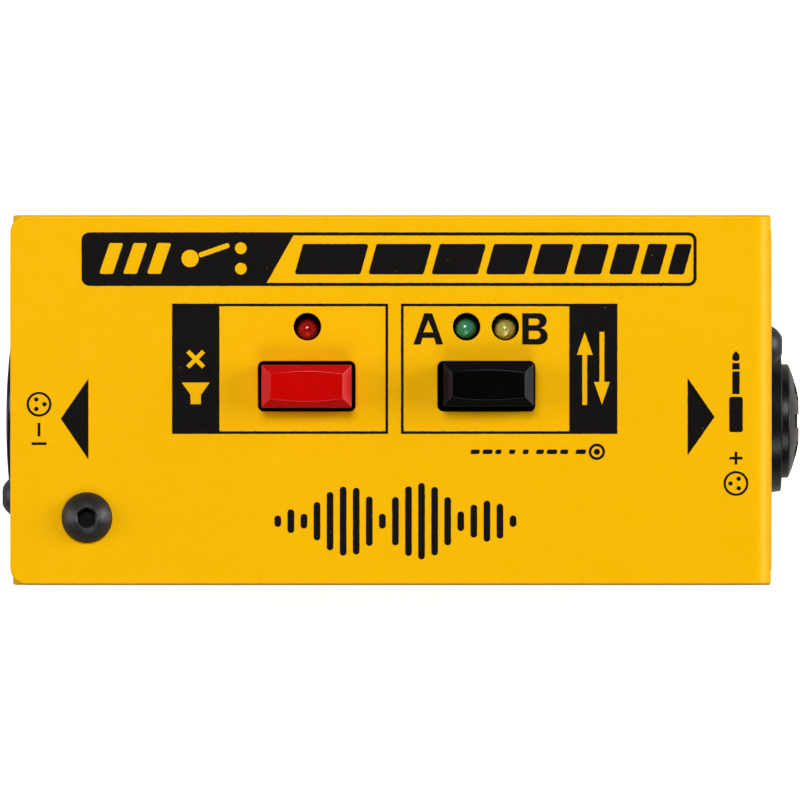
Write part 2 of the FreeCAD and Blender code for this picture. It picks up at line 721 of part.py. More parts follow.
def lamp(centre):
    """A three-millimetre lamp with a domed top and a flange with one flat."""
    x, y = centre
    stem = rod_z(LAMP_R, (LAMP_BASE, LAMP_TOP - LAMP_R), centre)
    dome = Part.makeSphere(LAMP_R, V(x, y, LAMP_TOP - LAMP_R))
    flange = rod_z(LAMP_FLANGE_R, (LAMP_BASE, LAMP_BASE + 1.0), centre)
    flat_size = (2 * LAMP_FLAT, 2 * LAMP_FLANGE_R)
    flat = block_at((x + LAMP_FLANGE_R, y), flat_size, (LAMP_BASE - 1, LAMP_BASE + 2))
    return joined([stem, dome, flange.cut(flat)])


def led_spacers():
    """Tubes that hold the lamps up under their holes."""
    tubes = []
    for centre in lamp_centres().values():
        tube = rod_z(SPACER_R, (BOARD_TOP, LAMP_BASE), centre)
        tubes.append(tube.cut(rod_z(SPACER_BORE_R, (BOARD_TOP - 1, LAMP_BASE + 1), centre)))
    return group(tubes)


def led_leads():
    """The lamps' leads, down inside the spacers and through the board."""
    return group([rod_z(LEAD_R, (LEAD_END, LAMP_BASE), spot) for spot in lamp_lead_spots()])


def resistors():
    """Axial resistors lying on the board, each with its bent leads."""
    height = BOARD_TOP + RESISTOR_R + 0.1
    parts = []
    for x, y in RESISTOR_ROWS:
        half = RESISTOR_SPAN / 2
        points = [
            V(x - half, y, LEAD_END),
            V(x - half, y, height),
            V(x + half, y, height),
            V(x + half, y, LEAD_END),
        ]
        lead = wire_along(points, [0, RESISTOR_LEAD_BEND, RESISTOR_LEAD_BEND, 0], LEAD_R)
        body_x = (x - RESISTOR_LENGTH / 2, x + RESISTOR_LENGTH / 2)
        body = rod_x(RESISTOR_R, body_x, y, height)
        parts.append(joined([body, lead]))
    return group(parts)


def capacitors():
    """Upright capacitor cans."""
    cans = []
    for centre in CAPACITOR_SPOTS:
        can = rod_z(CAPACITOR_R, (BOARD_TOP, BOARD_TOP + CAPACITOR_HEIGHT), centre)
        cans.append(soften(can, lambda p, e: p.z > BOARD_TOP + CAPACITOR_HEIGHT - 0.1, 0.4))
    return group(cans)


def logic_chip():
    """The moulded body of the logic chip, with its end notch."""
    size = (CHIP_LEGS * LEAD_SPACING - 0.6, CHIP_WIDTH)
    notch_at = (CHIP_CENTRE[0] - size[0] / 2, CHIP_CENTRE[1])
    notch = rod_z(0.8, (CHIP_Z[1] - 0.7, CHIP_Z[1] + 1), notch_at)
    return block_at(CHIP_CENTRE, size, CHIP_Z).cut(notch)


def chip_legs():
    """Bent legs beside the chip, down through the board."""
    legs = []
    for x, y in chip_leg_spots():
        upright = block_at((x, y), (CHIP_LEG_WIDTH, CHIP_LEG_THICKNESS), (LEAD_END, CHIP_LEG_TOP))
        inner = CHIP_CENTRE[1] + math.copysign(CHIP_WIDTH / 2, y - CHIP_CENTRE[1])
        arm_x = (x - CHIP_LEG_WIDTH / 2, x + CHIP_LEG_WIDTH / 2)
        arm = block(arm_x, sorted((inner, y)), (CHIP_LEG_TOP - CHIP_LEG_THICKNESS, CHIP_LEG_TOP))
        legs.append(joined([upright, arm]))
    return group(legs)


def port_flange(x, side):
    """The plate behind an end panel, with a boss for its screw."""
    screw_y, screw_z = PORT_Y + side * PORT_SCREW_Y, PORT_Z + PORT_SCREW_Z
    y = (PORT_Y - FLANGE_HALF_Y, PORT_Y + FLANGE_HALF_Y)
    plate = block(x, y, (PORT_Z - FLANGE_HALF_Z, PORT_Z + FLANGE_HALF_Z))
    plate = soften(plate, lambda p, e: abs(e.tangentAt(e.FirstParameter).x) > 0.9, FLANGE_CORNER)
    boss_x = (x[0] - PORT_BOSS_DEPTH, x[1]) if side > 0 else (x[0], x[1] + PORT_BOSS_DEPTH)
    return joined([plate, rod_x(PORT_BOSS_R, boss_x, screw_y, screw_z)])


def output_housing():
    """Outlet shell: arched front boss, round socket and rear flange."""
    boss = rod_x(OUTLET_BOSS_R, (LEFT_OUT - OUTLET_CREST - 1, LEFT_IN + 0.5))
    arch_x = LEFT_OUT - OUTLET_CREST + OUTLET_ARCH_R
    arch = Part.makeCylinder(OUTLET_ARCH_R, 60, V(arch_x, PORT_Y, PORT_Z - 30), Z_AXIS)
    boss = soften(boss.common(arch), lambda p, e: p.x < LEFT_OUT - OUTLET_RIM_ROUND, OUTLET_RIM_ROUND)
    flange = port_flange((LEFT_IN + SEAM / 2, LEFT_IN + PORT_FLANGE), -1)
    tube = rod_x(OUTLET_TUBE_R, (LEFT_IN, OUTLET_REAR))
    shell = joined([boss, flange, tube])
    mouth_x = LEFT_OUT - OUTLET_CREST
    shell = shell.cut(rod_x(SOCKET_R, (mouth_x - 1, OUTLET_REAR + 1)))
    lead_in_at = V(mouth_x - 0.3, PORT_Y, PORT_Z)
    shell = shell.cut(Part.makeCone(SOCKET_R + SOCKET_FLARE, SOCKET_R, SOCKET_FLARE, lead_in_at, X_AXIS))
    pocket_y = (PORT_Y - LATCH_WIDTH / 2, PORT_Y + LATCH_WIDTH / 2)
    pocket_z = (PORT_Z + SOCKET_R - 1, PORT_Z + SOCKET_R + LATCH_RISE)
    shell = shell.cut(block((LEFT_IN, LEFT_IN + LATCH_LENGTH), pocket_y, pocket_z))
    key_x = (LEFT_IN + KEY_SETBACK, OUTLET_FLOOR - SEAM)
    key_y = (PORT_Y - KEY_WIDTH / 2, PORT_Y + KEY_WIDTH / 2)
    key_z = (PORT_Z + SOCKET_R - KEY_HEIGHT, PORT_Z + SOCKET_R + 0.5)
    shell = joined([shell, block(key_x, key_y, key_z)])
    screw_y, screw_z = PORT_Y - PORT_SCREW_Y, PORT_Z + PORT_SCREW_Z
    hole_x = (LEFT_IN - 1, LEFT_IN + PORT_SCREW_DEPTH)
    return shell.cut(rod_x(M3_SHANK_R + THREAD_PLAY, hole_x, screw_y, screw_z))


def output_insert():
    """The plug of plastic that closes the socket and holds the pins."""
    spigot = rod_x(SOCKET_R - 0.05, (OUTLET_FLOOR, OUTLET_REAR))
    cap = rod_x(OUTLET_TUBE_R, (OUTLET_REAR, OUTLET_REAR + OUTLET_CAP))
    insert = joined([spigot, cap])
    for dy, dz in PIN_SPOTS:
        hole_x = (OUTLET_FLOOR - 1, OUTLET_REAR + 3)
        insert = insert.cut(rod_x(PIN_R + 0.02, hole_x, PORT_Y + dy, PORT_Z + dz))
    return insert


def output_pins():
    """The outlet's three pins, each with a solder cup behind."""
    pins = []
    for dy, dz in PIN_SPOTS:
        y, z = PORT_Y + dy, PORT_Z + dz
        tip = Part.makeCone(PIN_POINT_R, PIN_R, PIN_POINT_LENGTH, V(PIN_TIP, y, z), X_AXIS)
        shaft = rod_x(PIN_R, (PIN_TIP + PIN_POINT_LENGTH, CUP_START), y, z)
        cup = rod_x(CUP_R, (CUP_START, CUP_END), y, z)
        cup = cup.cut(rod_x(CUP_BORE_R, (CUP_START + 0.8, CUP_END + 1), y, z))
        cup = cup.cut(block((CUP_START + 1.4, CUP_END + 1), (y - 2, y + 2), (z + 0.5, z + 3)))
        pins.append(joined([tip, shaft, cup]))
    return group(pins)


def end_screw(side):
    """The button-head screw beside an end connector."""
    x = RIGHT_OUT if side > 0 else LEFT_OUT
    place = V(x, PORT_Y + side * PORT_SCREW_Y, PORT_Z + PORT_SCREW_Z)
    return turned_to(button_screw(**M3_BUTTON_HEAD), V(side, 0, 0), place)


def output_header():
    """The board's half of the outlet's plug-in connection."""
    return block_at((HEADER_X, PORT_Y), HEADER_SIZE, (BOARD_TOP, HEADER_TOP))


def output_plug():
    """The wires' half of the same connection."""
    plug = block_at((HEADER_X, PORT_Y), PLUG_SIZE, (HEADER_TOP, PLUG_TOP))
    hole_z = (PLUG_TOP - PLUG_HOLE_DEPTH, PLUG_TOP + 1)
    for dy, dz in PIN_SPOTS:
        plug = plug.cut(rod_z(WIRE_R + SEAM / 2, hole_z, (HEADER_X, PORT_Y + dy)))
    return plug


def output_wires():
    """One wire from each solder cup, up and over into the plug."""
    wires = []
    for dy, dz in PIN_SPOTS:
        y = PORT_Y + dy
        points = [
            V(CUP_START + 1.0, y, PORT_Z + dz),
            V(WIRE_RISER_X, y, PORT_Z + dz),
            V(WIRE_RISER_X, y, WIRE_CREST),
            V(HEADER_X, y, WIRE_CREST),
            V(HEADER_X, y, PLUG_TOP - PLUG_HOLE_DEPTH + SEAM),
        ]
        wires.append(wire_along(points, [0, WIRE_BEND, WIRE_BEND, WIRE_BEND, 0], WIRE_R))
    return group(wires)


def around_port(shape, degrees):
    """Turn a shape about the connectors' axis."""
    turned = shape.copy()
    turned.rotate(V(0, PORT_Y, PORT_Z), X_AXIS, degrees)
    return turned


def pin_turns():
    """The turn from straight up to each pin, about the connectors' axis."""
    return [math.degrees(math.atan2(-dy, dz)) for dy, dz in PIN_SPOTS]


def blade_box(x, low, high, width):
    """A flat bar above the connectors' axis."""
    return block(x, (PORT_Y - width / 2, PORT_Y + width / 2), (PORT_Z + low, PORT_Z + high))


def slot_box(x, low, high, width):
    """A flat bar above the axis, grown all round by the play of a slot."""
    return blade_box(x, low - SLOT_PLAY, high + SLOT_PLAY, width + 2 * SLOT_PLAY)


def input_insert():
    """The inlet's domed insert: three pin holes, a jack hole and a short slot above it."""
    shoulder = rod_x(INSERT_R, (INSERT_REAR, INSERT_NOSE + 1))
    apex = INSERT_NOSE + JACK_MOUTH_R ** 2 / (2 * DOME_R)
    insert = shoulder.common(Part.makeSphere(DOME_R, V(apex - DOME_R, PORT_Y, PORT_Z)))
    insert = soften(insert, lambda p, e: p.x > RIGHT_OUT, INSERT_ROUND)
    insert = joined([insert, rod_x(GROOVE_R - 0.05, (INSERT_REAR, INSERT_FLOOR))])
    through = (INSERT_REAR - 1, INSERT_NOSE + 2)
    insert = insert.cut(rod_x(JACK_R, through))
    flare = JACK_MOUTH_R - JACK_R
    mouth_at = V(INSERT_NOSE - flare, PORT_Y, PORT_Z)
    insert = insert.cut(Part.makeCone(JACK_R, JACK_MOUTH_R + flare, 2 * flare, mouth_at, X_AXIS))
    pin_hole_x = (INSERT_FLOOR, INSERT_NOSE + 2)
    pocket_x = (INSERT_REAR - 1, BLADE_FRONT + 3 * SLOT_PLAY)
    pocket_low = BLADE_LOW - 3.5 * SLOT_PLAY
    for (dy, dz), turn in zip(PIN_SPOTS, pin_turns()):
        insert = insert.cut(rod_x(PIN_HOLE_R, pin_hole_x, PORT_Y + dy, PORT_Z + dz))
        pocket = blade_box(pocket_x, pocket_low, BLADE_HIGH + SLOT_PLAY, BLADE_WIDTH + 2 * SLOT_PLAY)
        insert = insert.cut(around_port(pocket, turn))
    slot_x = (INSERT_NOSE - JACK_SLOT_LENGTH, INSERT_NOSE + 2)
    jack_slot = blade_box(slot_x, JACK_R - 0.5, INSERT_R - JACK_SLOT_RIM, JACK_SLOT_WIDTH)
    return insert.cut(jack_slot)


def input_housing():
    """Inlet shell: tapered collar, annular groove, rear wall and jack barrel."""
    collar_at = V(RIGHT_OUT, PORT_Y, PORT_Z)
    collar = Part.makeCone(COLLAR_ROOT_R, COLLAR_TIP_R, COLLAR_LENGTH, collar_at, X_AXIS)
    neck = rod_x(COLLAR_ROOT_R, (RIGHT_IN - 0.5, RIGHT_OUT))
    flange = port_flange((RIGHT_IN - PORT_FLANGE, RIGHT_IN - SEAM / 2), 1)
    tube = rod_x(INLET_TUBE_R, (INLET_WALL, RIGHT_IN - 1))
    shell = joined([collar, neck, flange, tube])
    shell = shell.cut(rod_x(GROOVE_R, (INSERT_REAR, RIGHT_OUT + COLLAR_LENGTH + 1)))
    shell = soften(shell, lambda p, e: p.x > RIGHT_OUT + COLLAR_ROUND, COLLAR_ROUND)
    shell = joined([shell, rod_x(BARREL_R, (INLET_REAR, INLET_WALL + 0.5))])
    shell = shell.cut(rod_x(TUNNEL_R, (INLET_REAR - 1, INSERT_REAR + 1)))
    slot_x = (INLET_WALL - 1, INSERT_REAR + 1)
    for turn in pin_turns():
        slot = slot_box(slot_x, BLADE_LOW, BLADE_HIGH, BLADE_WIDTH)
        shell = shell.cut(around_port(slot, turn))
    for turn, touch_x in zip(STRIP_TURNS, STRIP_TOUCH_X):
        window_x = (touch_x - STRIP_WIDTH, touch_x + STRIP_WIDTH)
        window = blade_box(window_x, TUNNEL_R - 1, BARREL_R + 1, STRIP_WIDTH + 4 * SLOT_PLAY)
        shell = shell.cut(around_port(window, turn))
    screw_y, screw_z = PORT_Y + PORT_SCREW_Y, PORT_Z + PORT_SCREW_Z
    hole_x = (RIGHT_IN - PORT_SCREW_DEPTH, RIGHT_IN + 1)
    return shell.cut(rod_x(M3_SHANK_R + THREAD_PLAY, hole_x, screw_y, screw_z))


def input_xlr_contacts():
    """Spring blades beside the pin holes, each with a tail through the inlet board."""
    blades = []
    for turn in pin_turns():
        blade = blade_box((INLET_REAR, BLADE_FRONT), BLADE_LOW, BLADE_HIGH, BLADE_WIDTH)
        tail = blade_box((TAIL_END, INLET_REAR), BLADE_LOW, BLADE_HIGH, TAIL_WIDTH)
        blades.append(around_port(joined([blade, tail]), turn))
    return group(blades)


def strip_outline(path, thickness):
    """The path and a copy of it one thickness away, as one closed outline."""
    offset = []
    for i, point in enumerate(path):
        before = point - path[max(i - 1, 0)]
        after = path[min(i + 1, len(path) - 1)] - point
        before = before if before.Length else after
        after = after if after.Length else before
        first = Y_AXIS.cross(before).normalize()
        second = Y_AXIS.cross(after).normalize()
        offset.append(point - (first + second) * (thickness / (1 + first.dot(second))))
    return path + offset[::-1]


def input_jack_contacts():
    """Tip, ring and sleeve springs, bent in through the barrel's windows."""
    strips = []
    for turn, touch_x in zip(STRIP_TURNS, STRIP_TOUCH_X):
        levels = [
            (TAIL_END, STRIP_LEVEL),
            (touch_x - 1.8, STRIP_LEVEL),
            (touch_x - 0.6, STRIP_TOUCH),
            (touch_x + 0.6, STRIP_TOUCH),
            (touch_x + 1.8, STRIP_LEVEL - 1.5),
        ]
        path = [V(x, PORT_Y - STRIP_WIDTH / 2, PORT_Z + level) for x, level in levels]
        outline = strip_outline(path, STRIP_THICKNESS)
        strip = prism(outline, [0] * len(outline), V(0, STRIP_WIDTH, 0))
        for side in (-1, 1):
            y = sorted((PORT_Y + side * TAIL_HALF, PORT_Y + side * STRIP_WIDTH))
            beside_tail = block((TAIL_END - 1, INLET_BOARD_X[1] + 0.6), y, (PORT_Z, PORT_Z + BARREL_R * 2))
            strip = strip.cut(beside_tail)
        strips.append(around_port(strip, turn))
    return group(strips)


def link_spots():
    """Each link pin's place across the box; all stand at one height."""
    return [PORT_Y + (i - (LINK_PINS - 1) / 2) * LINK_STEP for i in range(LINK_PINS)]


def input_board():
    """The small upright board behind the inlet, drilled for tails and link pins."""
    board_y = (PORT_Y - INLET_BOARD_HALF_Y, PORT_Y + INLET_BOARD_HALF_Y)
    board = block(INLET_BOARD_X, board_y, INLET_BOARD_Z)
    through = (INLET_BOARD_X[0] - 1, INLET_BOARD_X[1] + 1)
    for turn in pin_turns():
        slot = slot_box(through, BLADE_LOW, BLADE_HIGH, TAIL_WIDTH)
        board = board.cut(around_port(slot, turn))
    for turn in STRIP_TURNS:
        slot = slot_box(through, STRIP_LEVEL, STRIP_LEVEL + STRIP_THICKNESS, 2 * TAIL_HALF)
        board = board.cut(around_port(slot, turn))
    for y in link_spots():
        board = board.cut(rod_x(LEAD_HOLE_R, through, y, LINK_Z))
    return board


def link_header():
    """The strip under the main board that carries the link pins."""
    y = (link_spots()[0] - LINK_STEP / 2, link_spots()[-1] + LINK_STEP / 2)
    strip = block(LINK_STRIP_X, y, (LINK_Z - 1.2, BOARD_BOTTOM))
    for spot in link_spots():
        strip = strip.cut(rod_x(LINK_R + THREAD_PLAY, LINK_X, spot, LINK_Z))
    return strip


def link_pins():
    """Straight pins that join the inlet board to the main board."""
    return group([rod_x(LINK_R, LINK_X, spot, LINK_Z) for spot in link_spots()])


def build():
    """Every node of the box, by name."""
    nodes = {
        "top_cover": top_cover(),
        "base_chassis": base_chassis(),
        "bottom_pad": bottom_pad(),
        "cover_screw": cover_screw(),
        "cover_press_nut": cover_press_nut(),
        "underside_screws": underside_screws(),
        "lip_press_nuts": lip_press_nuts(),
        "main_board": main_board(),
        "board_standoffs": board_standoffs(),
        "board_screws": board_screws(),
        "switch_terminals": switch_terminals(),
        "led_spacers": led_spacers(),
        "led_leads": led_leads(),
        "resistors": resistors(),
        "capacitors": capacitors(),
        "logic_chip": logic_chip(),
        "chip_legs": chip_legs(),
        "output_housing": output_housing(),
        "output_insert": output_insert(),
        "output_pins": output_pins(),
        "output_screw": end_screw(-1),
        "output_header": output_header(),
        "output_plug": output_plug(),
        "output_wires": output_wires(),
        "input_housing": input_housing(),
        "input_insert": input_insert(),
        "input_xlr_contacts": input_xlr_contacts(),
        "input_jack_contacts": input_jack_contacts(),
        "input_screw": end_screw(1),
        "input_board": input_board(),
        "link_header": link_header(),
        "link_pins": link_pins(),
    }
    for name, centre in switch_centres().items():
        nodes[name + "_switch_base"] = switch_base(centre)
        nodes[name + "_switch_body"] = switch_body(centre)
        nodes[name + "_plunger"] = plunger(centre)
        nodes[name + "_spring"] = return_spring(centre)
        nodes[name + "_cap"] = button_cap(centre)
    for name, centre in lamp_centres().items():
        nodes[name] = lamp(centre)
    return nodes


os.makedirs("parts", exist_ok=True)
for node, shape in build().items():
    shape.exportStep("parts/" + node + ".step")
    print(node, len(shape.Solids), "solids", shape.isValid(), round(shape.Volume, 2), "mm3")
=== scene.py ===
import json
import math
import random

import bmesh
import bpy
from mathutils import Matrix, Vector, noise

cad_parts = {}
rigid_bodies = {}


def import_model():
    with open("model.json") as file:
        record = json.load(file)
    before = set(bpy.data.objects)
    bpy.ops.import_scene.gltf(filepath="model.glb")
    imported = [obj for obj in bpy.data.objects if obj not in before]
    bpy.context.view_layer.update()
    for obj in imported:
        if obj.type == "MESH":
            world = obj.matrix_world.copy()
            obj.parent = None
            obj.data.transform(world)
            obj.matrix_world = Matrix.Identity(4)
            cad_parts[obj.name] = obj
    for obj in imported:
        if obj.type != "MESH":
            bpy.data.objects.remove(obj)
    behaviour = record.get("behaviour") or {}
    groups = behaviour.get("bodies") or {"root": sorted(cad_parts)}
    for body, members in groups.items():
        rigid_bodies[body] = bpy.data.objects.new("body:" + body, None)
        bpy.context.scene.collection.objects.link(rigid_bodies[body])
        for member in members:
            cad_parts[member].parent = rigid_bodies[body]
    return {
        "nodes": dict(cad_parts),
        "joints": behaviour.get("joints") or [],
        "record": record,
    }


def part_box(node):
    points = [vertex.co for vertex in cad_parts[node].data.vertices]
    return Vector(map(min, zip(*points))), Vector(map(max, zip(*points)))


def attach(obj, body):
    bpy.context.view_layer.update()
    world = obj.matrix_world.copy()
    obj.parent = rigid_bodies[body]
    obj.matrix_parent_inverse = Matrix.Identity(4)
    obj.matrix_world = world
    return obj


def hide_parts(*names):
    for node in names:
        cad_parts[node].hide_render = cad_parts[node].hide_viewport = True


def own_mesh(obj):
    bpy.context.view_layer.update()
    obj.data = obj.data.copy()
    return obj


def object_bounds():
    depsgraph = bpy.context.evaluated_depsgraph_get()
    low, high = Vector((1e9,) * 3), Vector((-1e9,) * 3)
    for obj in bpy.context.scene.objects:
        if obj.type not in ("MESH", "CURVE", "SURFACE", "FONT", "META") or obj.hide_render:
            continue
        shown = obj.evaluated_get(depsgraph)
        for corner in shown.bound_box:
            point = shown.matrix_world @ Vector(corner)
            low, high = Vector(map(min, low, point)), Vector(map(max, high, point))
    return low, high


# The looks of a desktop remote switch box: yellow powder-coated steel, black
# silk-screened graphics, two bevelled push buttons, three lamps, black-oxide
# screws and black moulded connectors. Metres; MM turns millimetres into metres.

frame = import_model()
cad_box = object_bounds()
NODES = frame["nodes"]
MM = 0.001

# Without a seed, mathutils' noise differs from run to run.
noise.seed_set(1)

PANEL_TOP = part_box("top_cover")[1].z


# ----------------------------------------------------------------- materials

class Shader:
    """One node material, with short calls for the parts that this scene needs."""

    def __init__(self, name):
        self.material = bpy.data.materials.new(name)
        self.material.use_nodes = True
        self.tree = self.material.node_tree
        self.surface = self.tree.nodes["Principled BSDF"]
        place = self.tree.nodes.new("ShaderNodeTexCoord")
        self.place = place.outputs["Object"]

    def node(self, kind, **settings):
        """A new node, with its own settings."""
        made = self.tree.nodes.new("ShaderNode" + kind)
        for key, value in settings.items():
            setattr(made, key, value)
        return made

    def link(self, source, target):
        """Join an output to an input."""
        self.tree.links.new(source, target)

    def set(self, **values):
        """Set constants on the surface's own sockets."""
        for key, value in values.items():
            self.surface.inputs[key.replace("_", " ")].default_value = value
        return self

    def stretched(self, stretch):
        """The object's own coordinates, scaled unevenly."""
        mapping = self.node("Mapping")
        mapping.inputs["Scale"].default_value = stretch
        self.link(self.place, mapping.inputs["Vector"])
        return mapping.outputs["Vector"]

    def clouds(self, size, detail=3.0, place=None):
        """Soft noise whose features are about one size across, in millimetres."""
        made = self.node("TexNoise")
        made.inputs["Scale"].default_value = 1 / (size * MM)
        made.inputs["Detail"].default_value = detail
        self.link(place or self.place, made.inputs["Vector"])
        return made.outputs["Fac"]

    def cells(self, size):
        """Distances inside small random cells, in millimetres across."""
        made = self.node("TexVoronoi")
        made.inputs["Scale"].default_value = 1 / (size * MM)
        self.link(self.place, made.inputs["Vector"])
        return made.outputs["Distance"]

    def ramp(self, source, stops):
        """Turn a value into colours: stops are (position, colour or grey)."""
        made = self.node("ValToRGB")
        elements = made.color_ramp.elements
        while len(elements) < len(stops):
            elements.new(0.5)
        for element, (position, colour) in zip(elements, stops):
            element.position = position
            if isinstance(colour, (int, float)):
                colour = (colour,) * 3
            element.color = (*colour, 1)
        self.link(source, made.inputs["Fac"])
        return made.outputs["Color"]

    def mixed(self, factor, first, second):
        """Blend two colours; each is a colour or another node's output."""
        made = self.node("Mix", data_type="RGBA")
        self.link(factor, made.inputs["Factor"])
        for socket, value in ((made.inputs[6], first), (made.inputs[7], second)):
            if isinstance(value, tuple):
                socket.default_value = (*value, 1)
            else:
                self.link(value, socket)
        return made.outputs[2]

    def product(self, first, second):
        """Two values multiplied."""
        made = self.node("Math", operation="MULTIPLY")
        self.link(first, made.inputs[0])
        if isinstance(second, (int, float)):
            made.inputs[1].default_value = second
        else:
            self.link(second, made.inputs[1])
        return made.outputs[0]

    def edges(self, radius, low, high):
        """White along edges sharper than the radius, in millimetres."""
        bevel = self.node("Bevel", samples=6)
        bevel.inputs["Radius"].default_value = radius * MM
        flat = self.node("NewGeometry")
        dot = self.node("VectorMath", operation="DOT_PRODUCT")
        self.link(bevel.outputs["Normal"], dot.inputs[0])
        self.link(flat.outputs["Normal"], dot.inputs[1])
        return self.ramp(dot.outputs["Value"], [(low, 1.0), (high, 0.0)])

    def painted_hole_shade(self, distance, low, high):
        """Painted shade: black deep inside holes narrower than the distance, in millimetres."""
        made = self.node("AmbientOcclusion", samples=8, only_local=True)
        made.inputs["Distance"].default_value = distance * MM
        return self.ramp(made.outputs["AO"], [(low, 0.0), (high, 1.0)])

    def bumps(self, layers):
        """Stack bump layers: each is (height, depth in millimetres)."""
        previous = None
        for height, depth in layers:
            made = self.node("Bump")
            made.inputs["Strength"].default_value = 1.0
            made.inputs["Distance"].default_value = depth * MM
            self.link(height, made.inputs["Height"])
            if previous:
                self.link(previous, made.inputs["Normal"])
            previous = made.outputs["Normal"]
        self.link(previous, self.surface.inputs["Normal"])

    def colour(self, output):
        """Drive the surface's colour."""
        self.link(output, self.surface.inputs["Base Color"])

    def rough(self, source, low, high):
        """Drive the roughness between two values."""
        grey = self.ramp(source, [(0.3, low), (0.7, high)])
        self.link(grey, self.surface.inputs["Roughness"])


def powder_coat(name):
    """Satin yellow powder coat, a little thin and orange along its edges."""
    made = Shader(name).set(Specular_IOR_Level=0.2)
    broad = made.clouds(22.0, 2.0)
    base = made.mixed(broad, (0.845, 0.495, 0.0), (0.86, 0.515, 0.0))
    fine = made.ramp(made.clouds(1.1, 4.0), [(0.35, 0.0), (0.75, 0.35)])
    base = made.mixed(fine, base, (0.825, 0.47, 0.0))
    patches = made.ramp(made.clouds(1.6), [(0.5, 0.0), (0.62, 0.6)])
    worn = made.product(made.edges(0.35, 0.9, 0.995), patches)
    base = made.mixed(worn, base, (0.62, 0.33, 0.05))
    made.colour(base)
    made.rough(made.clouds(2.4), 0.26, 0.34)
    made.bumps([(made.clouds(0.55, 2.0), 0.009), (made.clouds(2.8, 1.0), 0.016)])
    return made.material


def moulded(name, dark, light, rough, grain, depth):
    """Moulded plastic: faint mottling, spark-eroded grain and softened edges."""
    made = Shader(name)
    tone = made.mixed(made.clouds(9.0), dark, light)
    patches = made.ramp(made.clouds(1.3), [(0.45, 0.0), (0.7, 0.5)])
    worn = made.product(made.edges(0.25, 0.88, 0.99), patches)
    lifted = tuple(min(1.0, part * 1.5 + 0.012) for part in light)
    made.colour(made.mixed(worn, tone, lifted))
    made.rough(made.clouds(3.0), *rough)
    made.bumps([(made.clouds(grain, 2.0), depth)])
    return made.material


def glossy_cap(name, dark, light, specular):
    """Polished button plastic with faint flow marks."""
    made = Shader(name).set(Specular_IOR_Level=specular)
    made.colour(made.mixed(made.clouds(3.5, 4.0), dark, light))
    made.rough(made.clouds(1.8, 5.0), 0.16, 0.22)
    made.bumps([(made.clouds(0.35, 2.0), 0.002), (made.clouds(5.0, 1.0), 0.012)])
    return made.material


def lamp_epoxy(name, dark, light):
    """Tinted clear epoxy with faint cloudy patches of colour."""
    made = Shader(name).set(IOR=1.52, Transmission_Weight=0.5)
    made.set(Coat_Weight=0.4, Coat_Roughness=0.03)
    made.colour(made.mixed(made.clouds(0.8, 4.0), dark, light))
    made.rough(made.clouds(0.6), 0.03, 0.09)
    made.bumps([(made.clouds(0.5, 1.0), 0.01)])
    return made.material


def metal(name, dark, light, rough, grain, depth, stretch=(1, 1, 1)):
    """Bare or plated metal with fine tool marks along one direction."""
    made = Shader(name).set(Metallic=1.0)
    place = made.stretched(stretch)
    made.colour(made.mixed(made.clouds(2.2, 4.0), dark, light))
    made.rough(made.clouds(0.8, 4.0), *rough)
    made.bumps([(made.clouds(grain, 3.0, place), depth)])
    return made.material


def black_oxide(name):
    """Black-oxide steel: dark, slightly brown, with rubbed bare edges that also carry a painted
    highlight, and painted shade deep in its socket.
    """
    made = Shader(name).set(Metallic=0.55, Specular_IOR_Level=0.6)
    tone = made.mixed(made.clouds(1.2, 5.0), (0.05, 0.047, 0.05), (0.074, 0.069, 0.071))
    # Edges go lighter: partly rubbed bare steel, partly a painted highlight on the socket's chamfer
    # ring.
    tone = made.mixed(made.edges(0.2, 0.8, 0.98), tone, (0.42, 0.4, 0.39))
    # Painted shade: the screw's socket and other deep hollows go near black, by ambient occlusion.
    made.colour(made.mixed(made.painted_hole_shade(3.0, 0.5, 0.9), (0.004, 0.004, 0.004), tone))
    made.rough(made.clouds(0.9, 4.0), 0.34, 0.46)
    made.bumps([(made.clouds(0.22, 3.0), 0.006)])
    return made.material


def rubber(name):
    """Solid rubber sheet with a fine cloth-pressed grain and dust."""
    made = Shader(name).set(Specular_IOR_Level=0.3)
    tone = made.mixed(made.clouds(6.0, 5.0), (0.016, 0.016, 0.017), (0.034, 0.033, 0.032))
    made.colour(tone)
    made.rough(made.clouds(4.0), 0.75, 0.9)
    made.bumps([(made.cells(0.6), 0.05), (made.clouds(0.2), 0.02)])
    return made.material


def solder_mask(name):
    """Green solder mask over a web of copper tracks."""
    made = Shader(name).set(Specular_IOR_Level=0.5, Coat_Weight=0.3)
    tracks = made.node("TexBrick", offset=0.35, squash=1.6)
    sizes = {"Scale": 1 / (11 * MM), "Mortar Size": 0.018,
             "Brick Width": 0.9, "Row Height": 0.22}
    for key, value in sizes.items():
        tracks.inputs[key].default_value = value
    made.link(made.place, tracks.inputs["Vector"])
    copper = made.ramp(tracks.outputs["Fac"], [(0.3, 0.0), (0.6, 1.0)])
    mask = made.mixed(made.clouds(5.0), (0.008, 0.085, 0.035), (0.014, 0.12, 0.05))
    made.colour(made.mixed(copper, mask, (0.03, 0.2, 0.075)))
    made.rough(made.clouds(2.0), 0.28, 0.4)
    made.bumps([(copper, 0.03), (made.clouds(0.25), 0.004)])
    return made.material


def striped(name, body, bands):
    """A lacquered component body with painted bands along X."""
    made = Shader(name).set(Coat_Weight=0.4)
    wave = made.node("TexWave", wave_type="BANDS", bands_direction="X")
    wave.inputs["Scale"].default_value = 1 / (5.6 * MM)
    made.link(made.place, wave.inputs["Vector"])
    painted = made.ramp(wave.outputs["Fac"], [(0.82, 0.0), (0.86, 1.0)])
    made.colour(made.mixed(painted, body, bands))
    made.rough(made.clouds(1.5), 0.3, 0.45)
    made.bumps([(made.clouds(0.4), 0.01)])
    return made.material


